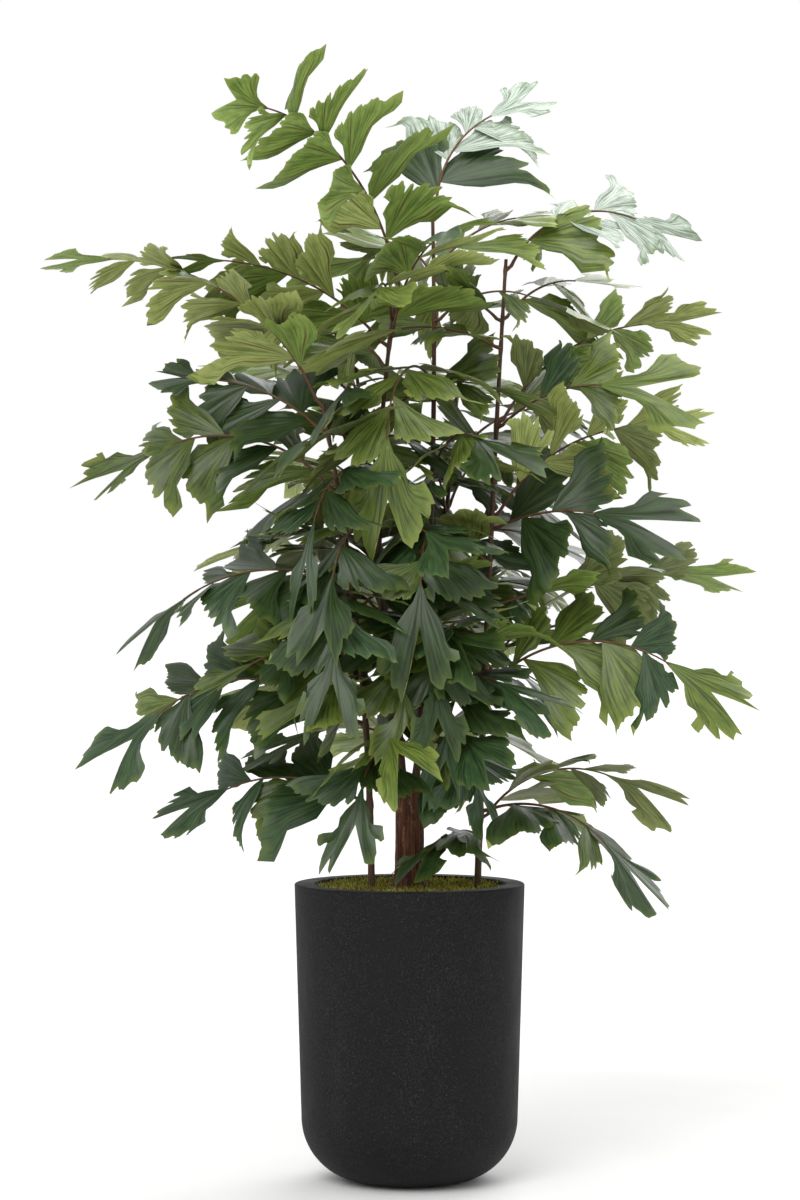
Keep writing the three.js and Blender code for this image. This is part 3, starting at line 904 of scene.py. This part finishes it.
def lobes(wild, count, depth):
    """How far a ragged edge falls short over S: pointed lobes of uneven width with notches between them."""
    bounds = np.concatenate([[0], np.cumsum(wild.uniform(*LOBE_WIDTHS, count))])
    bounds = bounds / bounds[-1]
    short = TOOTH * wild.random(S.size)
    for low, high in zip(bounds[:-1], bounds[1:]):
        share = (S - low) / (high - low)
        lean = wild.uniform(*LOBE_LEAN)
        fall = np.abs(2 * share - 1 - lean) ** wild.uniform(*LOBE_POWER)
        lobe = wild.uniform(*LOBE_STEP) * depth + wild.uniform(*LOBE_FALL) * depth * fall
        short += np.where((S >= low) & ((S < high) | (high == 1)), lobe, 0)
    return short


WEDGE_DROP = 0.42
WEDGE_POWER = 0.8
WEDGE_LOBES = (4, 8)
WEDGE_LOBE_DEPTH = (0.035, 0.1)
SPIKE = 0.07
SPIKE_WIDTH = 0.03


def wedge_outline(wild):
    """A side leaflet's reach, even and ragged: a point at its long side, and lobes that step back from it."""
    even = 1 - WEDGE_DROP * S**WEDGE_POWER
    ragged = even - lobes(wild, wild.integers(*WEDGE_LOBES), wild.uniform(*WEDGE_LOBE_DEPTH))
    return even, ragged + SPIKE * np.exp(-S / SPIKE_WIDTH)


NOTCH_DEPTH = (0.3, 0.5)
STRAP_CORNER = (0.25, 0.5)  # from the notch to a strap's end
STRAP_LEFT = (0.8, 1)
STRAP_RIGHT = (0.9, 1)
STRAP_FALL = 0.3
FORK_LOBES = (6, 10)
FORK_LOBE_DEPTH = (0.05, 0.12)


def fork_outline(wild):
    """The end leaflet's reach, even and ragged: two broad straps beside a notch, with lobed ends."""
    from_notch = np.abs(2 * S - 1)
    depth = wild.uniform(*NOTCH_DEPTH)
    corner = wild.uniform(*STRAP_CORNER)
    left, right = wild.uniform(*STRAP_LEFT), wild.uniform(*STRAP_RIGHT)
    lobe = np.where(S < 0.5, left, right)
    inner = depth / np.maximum(0.01, 1 - (1 - depth) * from_notch / corner)
    outer = lobe * (1 - STRAP_FALL * np.clip((from_notch - corner) / (1 - corner), 0, 1))
    even = np.minimum(inner, outer)
    ragged = even - lobes(wild, wild.integers(*FORK_LOBES), wild.uniform(*FORK_LOBE_DEPTH))
    return even, np.where(inner > outer, ragged, even)


# Side leaflets and end leaflets: angles of their two sides, spread of widths, width at the root for that at
# the end, spread of bends, curl and outline
WEDGE = Form(-29, 40, (0.52, 1.0), 1.15, (0, 38), 30, wedge_outline)
FORK = Form(-35, 35, (0.8, 1.1), 0.55, (0, 34), 12, fork_outline)


def leaf_relief(form, y, share, place, wild):
    """Height of a leaflet's sheet: ruffled at its end, cupped and folded, an end leaflet also tilted."""
    waves, phase = wild.uniform(*WAVES), wild.random()
    ruffle = RUFFLE * place.length * wild.uniform(*RUFFLE_SPREAD)
    height = ruffle * share**2 * np.sin(2 * np.pi * (waves * S + phase))
    height = height - CUP * wild.uniform(*CUP_SPREAD) * y**2 / place.length
    radius = share * place.length
    for count, size in FOLDS:
        height = height + size * radius * np.sin(2 * np.pi * (count * S + wild.random()))
    for vein in MAIN_VEINS:
        height = height - VEIN_DEPTH * radius * np.exp(-(((S - vein) / VEIN_SPREAD) ** 2))
    tilts = LEAF_TILT * wild.uniform(-1, 1, 2)
    return height + (np.where(y < 0, tilts[0], tilts[1]) * np.abs(y) if form is FORK else 0)


def leaf_sheet(form, place, wild):
    """A leaflet's points: its upper side row by row, then the inner points of its underside."""
    even, ragged = form.outline(wild)
    rho = RHO[:, None]
    width = wild.uniform(*form.widths)
    neck = lerp(form.neck, 1.0, rho)
    wave = WOBBLE * (2 * S - 1) ** 3 * np.sin(2 * np.pi * (wild.uniform(*WAVES) * rho + wild.random()))
    angle = np.radians(width * neck * lerp(form.start, form.stop, S) + wave)
    share = rho * even + rho**4 * (ragged - even)
    x = share * place.length * np.cos(angle)
    y = share * place.length * np.sin(angle) + ROOT_HALF_WIDTH * (2 * S - 1) * (1 - rho) ** 2
    height = leaf_relief(form, y, share, place, wild)
    bend, curl = wild.uniform(*form.bends) + 1, form.curl * wild.uniform(-1, 1)
    half = np.where(INNER, LEAF_THICKNESS / 2, 0)
    upper = carried(place, x, y, height + half, bend, curl).reshape(-1, 3)
    under = carried(place, x, y, height - half, bend, curl)[INNER]
    return np.concatenate([upper, under])


# Tints of the upper sides and undersides: name, dark and light colour, and colour at the ragged end
LEAF_TOPS = (
    ("leaf_top_deep", (19, 33, 11), (51, 75, 33), (88, 105, 44)),
    ("leaf_top_blue", (22, 39, 21), (60, 87, 49), (93, 112, 56)),
    ("leaf_top_green", (34, 47, 14), (85, 103, 38), (120, 131, 52)),
    ("leaf_top_fresh", (53, 68, 24), (110, 128, 54), (140, 152, 72)),
    # pale silver green: a painted sheen, the glare of light on glossy upper sides painted into the colour
    ("leaf_top_painted_sheen", (84, 104, 84), (184, 195, 182), (98, 118, 62)),
)
LEAF_UNDERS = (
    ("leaf_under_olive", (92, 102, 44), (152, 164, 88), (172, 180, 104)),
    ("leaf_under_green", (76, 98, 38), (138, 162, 76), (162, 178, 94)),
    ("leaf_under_lime", (112, 126, 56), (178, 190, 112), (192, 202, 128)),
    ("leaf_under_shade", (66, 78, 36), (122, 134, 72), (148, 156, 92)),
    # pale underside of the same fronds, also part of the painted sheen
    ("leaf_under_painted_sheen", (112, 128, 84), (176, 190, 146), (160, 172, 112)),
)
TINT_COUNT = len(LEAF_TOPS)
# Colour of the veins, how much of it they take, roughness and gloss
TOP_FINISH = ((36, 42, 24), 0.7, 0.36, 0.38)
UNDER_FINISH = ((92, 62, 34), 0.9, 0.5, 0.4)
# How often a frond has each tint, on top and underneath, below the height where the crown is sunlit and
# above it
SUNLIT = 1330
SHADED_WEIGHTS = ((0.44, 0.27, 0.2, 0.09, 0), (0.3, 0.35, 0.12, 0.23, 0))
SUNLIT_WEIGHTS = ((0.08, 0.12, 0.48, 0.32, 0), (0.25, 0.35, 0.35, 0.05, 0))
# the last tint on each side is the painted sheen
PAINTED_SHEEN = TINT_COUNT - 1
PAINTED_SHEEN_FRONDS = {("centre", 1686): 20, ("right", 1580): 15}  # fronds whose outer leaflets have a pale sheen of light painted on both sides, and their further turn from their solids'
PAINTED_SHEEN_FROM = 0.42  # share of such a frond's rib where its painted sheen begins
SAME_TINT = 0.6  # chance that a leaflet keeps its frond's tint
CELL_MARGIN = 0.012


def leaf_cell(tint, upper):
    """The place in a piece's picture that the leaflets of one tint share."""
    low = (tint / TINT_COUNT + CELL_MARGIN, (0.5 if upper else 0.0) + CELL_MARGIN)
    return low, (1 / TINT_COUNT - 2 * CELL_MARGIN, 0.5 - 2 * CELL_MARGIN)


def leaf_materials():
    return [
        leaf_material(name, srgb(*dark), srgb(*light), srgb(*edge), srgb(*vein), *finish)
        for tints, (vein, *finish) in ((LEAF_TOPS, TOP_FINISH), (LEAF_UNDERS, UNDER_FINISH))
        for name, dark, light, edge in tints
    ]


def pick_tint(wild, weights, usual):
    chosen = int(wild.choice(TINT_COUNT, p=weights))
    # a leaflet with the painted sheen keeps it
    return usual if usual == PAINTED_SHEEN or wild.random() < SAME_TINT else chosen


def add_leaf(shell, sheet, hand, wild, weights, usual):
    """A leaflet in a tint of its own on each side, mostly its frond's."""
    first = shell.add_points(sheet)
    top, under = (pick_tint(wild, shares, tint) for shares, tint in zip(weights, usual))
    sides = (
        (LEAF_FACES, top, leaf_cell(top, True)),
        (UNDER_INDEX[LEAF_FACES], TINT_COUNT + under, leaf_cell(under, False)),
    )
    orders = (slice(None, None, -1), slice(None))
    if hand < 0:
        orders = orders[::-1]
    for order, (faces, slot, cell) in zip(orders, sides):
        shell.add_faces(faces[:, order] + first, LEAF_UV[:, order], slot, cell)


def rib_rings(cane, row):
    """A thin rib with a swollen foot that starts inside its cane."""
    across, deep = round_points(RIB_SIDES)
    rings = []
    for ring in range(RIB_RINGS + 1):
        share = ring / RIB_RINGS
        at = rib_frame(cane, row, share)
        radius = lerp(*RIB_RADII, share) + RIB_SWELL * math.exp(-share / RIB_SWELL_SHARE)
        middle = cane_point(cane, share_on_cane(cane, row[0])) if ring == 0 else at.point
        rings.append(middle + radius * (across[:, None] * at.across + deep[:, None] * at.over))
    return np.array(rings)[:, ::-1]


class Crown:
    """What has grown, and whether a new sheet or tube keeps clear of it, its own frond aside."""

    def __init__(self):
        self.lows = np.zeros((0, 3))
        self.highs = np.zeros((0, 3))
        self.trees = []
        self.owners = []

    def add(self, points, tree, owner):
        self.lows = np.vstack([self.lows, points.min(axis=0)])
        self.highs = np.vstack([self.highs, points.max(axis=0)])
        self.trees.append(tree)
        self.owners.append(owner)

    def is_clear(self, points, tree, owner):
        below = (self.lows < points.max(axis=0)).all(axis=1)
        above = (self.highs > points.min(axis=0)).all(axis=1)
        near = np.flatnonzero(below & above)
        return not any(self.owners[i] != owner and tree.overlap(self.trees[i]) for i in near)


def tree_of(points, faces):
    return BVHTree.FromPolygons(points.tolist(), faces.tolist())


def tube_of(rings):
    """A tube's points, and the tree that finds what crosses it."""
    points = rings.reshape(-1, 3)
    return points, tree_of(points, lattice(rings.shape[0] - 1, rings.shape[1], True)[0])


# A leaflet's grid thinned out, to find what crosses it
COARSE_ROWS = np.arange(1, LEAF_ROWS + 1, 2)
COARSE_COLUMNS = np.arange(0, LEAF_COLUMNS + 1, 4)
COARSE = (COARSE_ROWS[:, None] * (LEAF_COLUMNS + 1) + COARSE_COLUMNS).ravel()
COARSE_FACES, _ = lattice(COARSE_ROWS.size - 1, COARSE_COLUMNS.size - 1, False)


def end_leaflet(row, seed):
    """The end leaflet's form, share of the rib, hand, opening, droop, twist and size."""
    size = row[6] if len(row) > 6 else 1
    size *= TERMINAL_LENGTH * (1 + LENGTH_SPREAD * seeded(seed + TERMINAL_SEED)())
    return FORK, TERMINAL_SHARE, 1, 0, 0, 0, size


def side_leaflets(length, seed):
    """The same of each side leaflet, by the solids' rule, swung wider."""
    draw = seeded(seed)
    pairs = max(2, math.floor(length * (1 - BARE_SHARE) / PAIR_SPACING + 0.5))
    for pair in range(pairs):
        for hand in (1, -1):
            share = lerp(BARE_SHARE, 1, (pair + (0 if hand > 0 else STAGGER)) / pairs)
            opening = lerp(*OPEN_ANGLE, share) + FINE_SWING * draw()
            droop = DROOP + FINE_DROOP * draw()
            twist = FINE_TWIST * draw() + SHINGLE * hand
            size = LEAFLET_LENGTH * (1 - LEAFLET_TAPER * share) * (1 + LENGTH_SPREAD * draw())
            yield WEDGE, share, hand, opening, droop, twist, size


def grow_leaflets(crown, shell, cane, row, seed, leaflets):
    """Leaflets of a frond, each by the first try that touches no other frond, or left out."""
    tints = np.random.default_rng(seed)
    weights = SUNLIT_WEIGHTS if row[0] > SUNLIT else SHADED_WEIGHTS
    usual = [int(tints.choice(TINT_COUNT, p=shares)) for shares in weights]
    owner = (cane, row[0])
    for form, share, hand, opening, droop, twist, size in leaflets:
        at = rib_frame(cane, row, share)
        # out along these fronds both sides take the painted sheen tints
        own = (PAINTED_SHEEN, PAINTED_SHEEN) if owner in PAINTED_SHEEN_FRONDS and share > PAINTED_SHEEN_FROM else usual
        for shorter, dodge in ((x, y) for x in SHORTER for y in DODGES):
            place = leaflet_place(at, hand, opening, droop + dodge, twist, size * shorter)
            sheet = leaf_sheet(form, place, np.random.default_rng((seed, round(1000 * share))))
            points = sheet[COARSE]
            tree = tree_of(points, COARSE_FACES)
            if crown.is_clear(points, tree, owner):
                crown.add(points, tree, owner)
                add_leaf(shell, sheet, place.hand, tints, weights, own)
                break


def grow_inner_ribs(crown, cane):
    """The rows of the small fronds inside the crown, where there is room for their ribs."""
    rows = []
    for row in INNER_FRONDS[cane]:
        for aside in ASIDE:
            turned_row = (row[0], row[1] + aside, *row[2:])
            reach = math.hypot(*rib_frame(cane, turned_row, 1).point[:2])
            tube = tube_of(rib_rings(cane, turned_row)[2:])
            if reach < INNER_REACH and crown.is_clear(*tube, None):
                crown.add(*tube, (cane, row[0]))
                rows.append(turned_row)
                break
    return rows


def make_fronds():
    leaf = leaf_materials()
    bark = stem_material(
        "rib_bark", srgb(52, 32, 24), srgb(116, 76, 50), srgb(108, 104, 56), 0.6, (6.0, 16.0, 1.0)
    )
    crown = Crown()
    pile = MOSS_TOP + MOSS_PILE
    moss_top = turned([(AXIS_RADIUS, pile), (bore_at(MOSS_TOP), pile)], TRUNK_SIDES)
    for name, rings in (("pot", pot_rings()), ("moss", moss_top), ("trunk", trunk_rings())):
        crown.add(*tube_of(rings), name)
    for cane in CANES:
        crown.add(*tube_of(cane_rings(cane)), cane)
    grown = {}
    for cane, rows in FRONDS.items():
        grown[cane] = []
        for index, row in enumerate(rows):
            row = taken_row(cane, row, f"frond_{cane}_{index + 1}")
            grown[cane].append(row)
            crown.add(*tube_of(rib_rings(cane, row)), (cane, row[0]))
    inner = {cane: grow_inner_ribs(crown, cane) for cane in CANES}
    leaves = {cane: Shell() for cane in CANES}
    seed = 0
    for group in (grown, inner):
        fronds = [(cane, row) for cane, rows in group.items() for row in rows]
        seeds = range(seed + 1, seed + 1 + len(fronds))
        for seed, (cane, row) in zip(seeds, fronds):
            grow_leaflets(crown, leaves[cane], cane, row, seed, [end_leaflet(row, seed)])
        for seed, (cane, row) in zip(seeds, fronds):
            grow_leaflets(crown, leaves[cane], cane, row, seed, side_leaflets(row[2], seed))
    for cane, rows in FRONDS.items():
        ribs = Shell()
        for row in grown[cane] + inner[cane]:
            add_tube(ribs, rib_rings(cane, row))
        nodes = [f"frond_{cane}_{index + 1}" for index in range(len(rows))]
        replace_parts(leaves[cane].piece(f"leaflets_{cane}", leaf, "leaf"), *nodes)
        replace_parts(ribs.piece(f"ribs_{cane}", [bark], "cane"), *nodes)


# Stage

# Places and sizes here are metres
FLOOR_RADIUS = 60.0
FLOOR_SIDES = 64
WHITE = (1.0, 1.0, 1.0, 1.0)
ROOM_LIGHT = 0.8
# Suns: the way to them, their strength, and the angle that they cover
SUNS = {
    "key_light": ((-0.4, -0.95, 0.9), 1.3, 35),
    "back_light": ((0.35, 0.8, 0.7), 1.25, 45),
}
# The softbox over the crown: its place, what it points at, its size and its power
SOFTBOX = ((0.33, -0.22, 2.36), (0.28, 0, 1.8), 0.8, 5)
CAMERA_PLACE = (-0.0166, -5.8, 1.007)
CAMERA_VIEW = 20.4  # angle over the height of the picture
CAMERA_END = 200


def make_floor():
    paint = Paint("studio_floor", Specular_IOR_Level=0.1)
    haze = paint.noise(paint.place(), 1.5, detail=2.0)
    colour = paint.ramp(haze, [(0.3, srgb(238, 238, 237)), (0.7, srgb(243, 243, 242))])
    material = paint.finish(Base_Color=colour, Roughness=0.8)
    mesh = bpy.data.meshes.new("studio_floor")
    across, deep = round_points(FLOOR_SIDES)
    rim = np.stack([across * FLOOR_RADIUS, deep * FLOOR_RADIUS, 0 * across], -1)
    mesh.from_pydata(rim.tolist(), [], [list(range(FLOOR_SIDES))])
    mesh.materials.append(material)
    floor = placed("studio_floor", mesh)
    floor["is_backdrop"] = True


def make_world():
    """Even light from all round, in front of white."""
    world = bpy.data.worlds.new("studio")
    world.use_nodes = True
    tree = world.node_tree
    light = tree.nodes["Background"]
    light.inputs["Strength"].default_value = ROOM_LIGHT
    white = tree.nodes.new("ShaderNodeBackground")
    for node in (light, white):
        node.inputs["Color"].default_value = WHITE
    mix = tree.nodes.new("ShaderNodeMixShader")
    tree.links.new(tree.nodes.new("ShaderNodeLightPath").outputs["Is Camera Ray"], mix.inputs["Fac"])
    tree.links.new(light.outputs["Background"], mix.inputs[1])
    tree.links.new(white.outputs["Background"], mix.inputs[2])
    tree.links.new(mix.outputs["Shader"], tree.nodes["World Output"].inputs["Surface"])
    bpy.context.scene.world = world


def add_lamp(name, kind, way, **settings):
    """A lamp whose back is turned this way."""
    data = bpy.data.lights.new(name, kind)
    for key, value in settings.items():
        setattr(data, key, value)
    lamp = placed(name, data)
    lamp.rotation_euler = way.to_track_quat("Z", "Y").to_euler()
    return lamp


def make_studio():
    make_floor()
    make_world()
    bpy.context.scene.view_settings.view_transform = "Standard"
    for name, (way, strength, angle) in SUNS.items():
        add_lamp(name, "SUN", Vector(way), energy=strength, angle=math.radians(angle))
    place, target, size, power = SOFTBOX
    softbox = add_lamp("top_light", "AREA", Vector(place) - Vector(target), energy=power, size=size)
    softbox.location = place
    softbox.visible_camera = False


def make_camera():
    data = bpy.data.cameras.new("photo_camera")
    data.sensor_fit = "AUTO"
    data.lens = data.sensor_width / 2 / math.tan(math.radians(CAMERA_VIEW / 2))
    data.clip_end = CAMERA_END
    camera = placed("photo_camera", data)
    camera.location = CAMERA_PLACE
    camera.rotation_euler = (math.pi / 2, 0, 0)
    bpy.context.scene.camera = camera


add_back_fronds()
add_inner_fronds()
make_studio()
make_camera()
make_pot()
make_moss()
make_trunk()
make_canes()
make_fronds()
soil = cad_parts["soil"].data.materials
soil.clear()
soil.append(soil_material())

sizes = {"cad": cad_box, "visual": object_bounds()}
{name: [list(corner) for corner in box] for name, box in sizes.items()}
